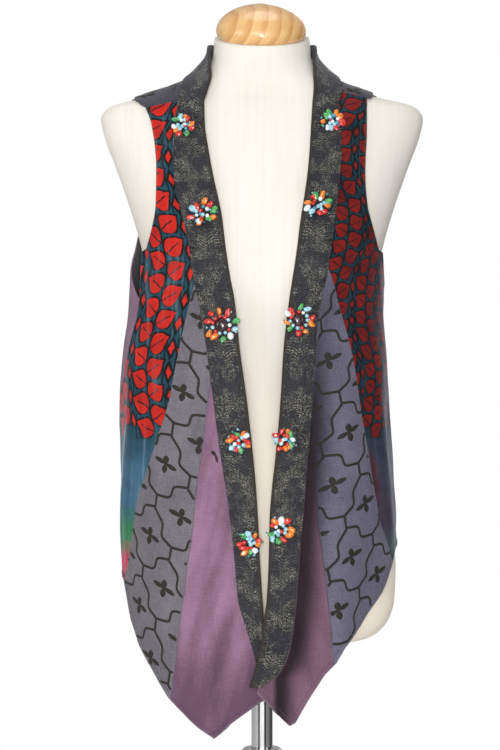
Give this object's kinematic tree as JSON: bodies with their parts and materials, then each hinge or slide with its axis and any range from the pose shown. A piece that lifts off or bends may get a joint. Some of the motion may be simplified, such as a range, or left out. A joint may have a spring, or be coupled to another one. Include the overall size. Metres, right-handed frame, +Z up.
{
  "type": "gilet on a dress form",
  "caption": "Long sleeveless patchwork gilet with an open pointed front and a beaded brocade band, worn on a limbless dress form on a round-based stand.",
  "frame": {"origin": "on the floor under the pole, at the middle of the base's underside", "axes": "+Z up, the front of the gilet faces -Y, the wearer's left is +X"},
  "size_m": [0.4, 0.4, 1.165],
  "materials": {
    "jersey": "cream knitted jersey, matt",
    "wood": "pale wood, clear gloss varnish",
    "chrome": "polished",
    "print": "printed velvet, red on petrol blue",
    "lattice": "grey lilac twill with dark embroidery",
    "plum": "dusty plum twill, matt",
    "brocade": "navy brocade with dull metal thread",
    "beads": "mixed glass chips and round beads, glossy"
  },
  "bodies": {
    "root": {"stand_base": "chrome", "stand_hub": "chrome", "stand_pole": "chrome", "stand_tube": "chrome", "stand_collar": "chrome", "form_torso": "jersey", "form_neck_cap": "wood", "front_print_right": "print", "front_lattice_right": "lattice", "front_plum_right": "plum", "back_right": "plum", "band_right": "brocade", "rosette_right_1": "beads", "rosette_right_2": "beads", "rosette_right_3": "beads", "rosette_right_4": "beads", "rosette_right_5": "beads", "front_print_left": "print", "front_lattice_left": "lattice", "front_plum_left": "plum", "back_left": "plum", "band_left": "brocade", "rosette_left_1": "beads", "rosette_left_2": "beads", "rosette_left_3": "beads", "rosette_left_4": "beads", "rosette_left_5": "beads", "yoke": "lattice"}
  },
  "joints": []
}
